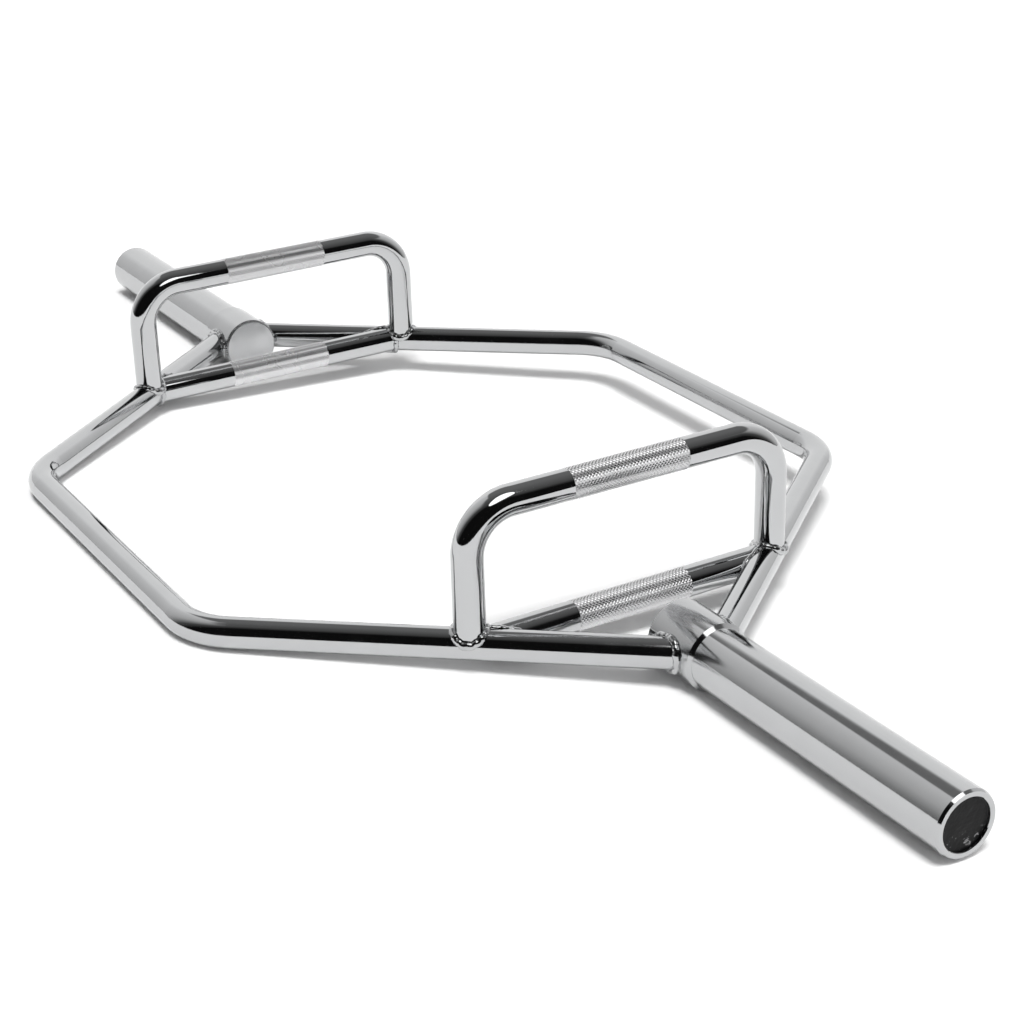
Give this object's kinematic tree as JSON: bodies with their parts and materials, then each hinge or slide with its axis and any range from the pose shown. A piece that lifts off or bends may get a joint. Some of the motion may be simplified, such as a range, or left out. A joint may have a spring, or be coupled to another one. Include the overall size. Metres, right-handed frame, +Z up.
{
  "type": "hex trap bar",
  "caption": "Welded hexagonal steel bar with a plate sleeve at each end and high and low knurled handles, for lifts with the lifter standing inside.",
  "frame": {"origin": "middle of the bar, on the plane that the collars rest on, with the frame level", "axes": "+X along the sleeves to the right, -Y to the front run, +Z up towards the high handles"},
  "size_m": [1.4, 0.635, 0.1488],
  "materials": {
    "frame_chrome": "bright chrome plate on bent steel bar",
    "handle_chrome": "bright chrome plate, with rolled knurl at the grips",
    "sleeve_chrome": "bright chrome plate on turned tube",
    "collar_chrome": "bright chrome plate on tube",
    "weld_chrome": "chrome plate over weld metal",
    "plug_plastic": "black moulded",
    "label_vinyl": "glossy black film"
  },
  "bodies": {
    "root": {"front_frame_bar": "frame_chrome", "rear_frame_bar": "frame_chrome", "left_plate_sleeve": "sleeve_chrome", "left_collar": "collar_chrome", "left_collar_end_disc": "collar_chrome", "left_shoulder_weld": "weld_chrome", "left_end_disc_weld": "weld_chrome", "left_frame_welds": "weld_chrome", "left_high_handle_welds": "weld_chrome", "left_low_handle_welds": "weld_chrome", "left_end_plug": "plug_plastic", "left_end_label": "label_vinyl", "left_high_handle": "handle_chrome", "left_low_handle": "handle_chrome", "right_plate_sleeve": "sleeve_chrome", "right_collar": "collar_chrome", "right_collar_end_disc": "collar_chrome", "right_shoulder_weld": "weld_chrome", "right_end_disc_weld": "weld_chrome", "right_frame_welds": "weld_chrome", "right_high_handle_welds": "weld_chrome", "right_low_handle_welds": "weld_chrome", "right_end_plug": "plug_plastic", "right_end_label": "label_vinyl", "right_high_handle": "handle_chrome", "right_low_handle": "handle_chrome"}
  },
  "joints": []
}
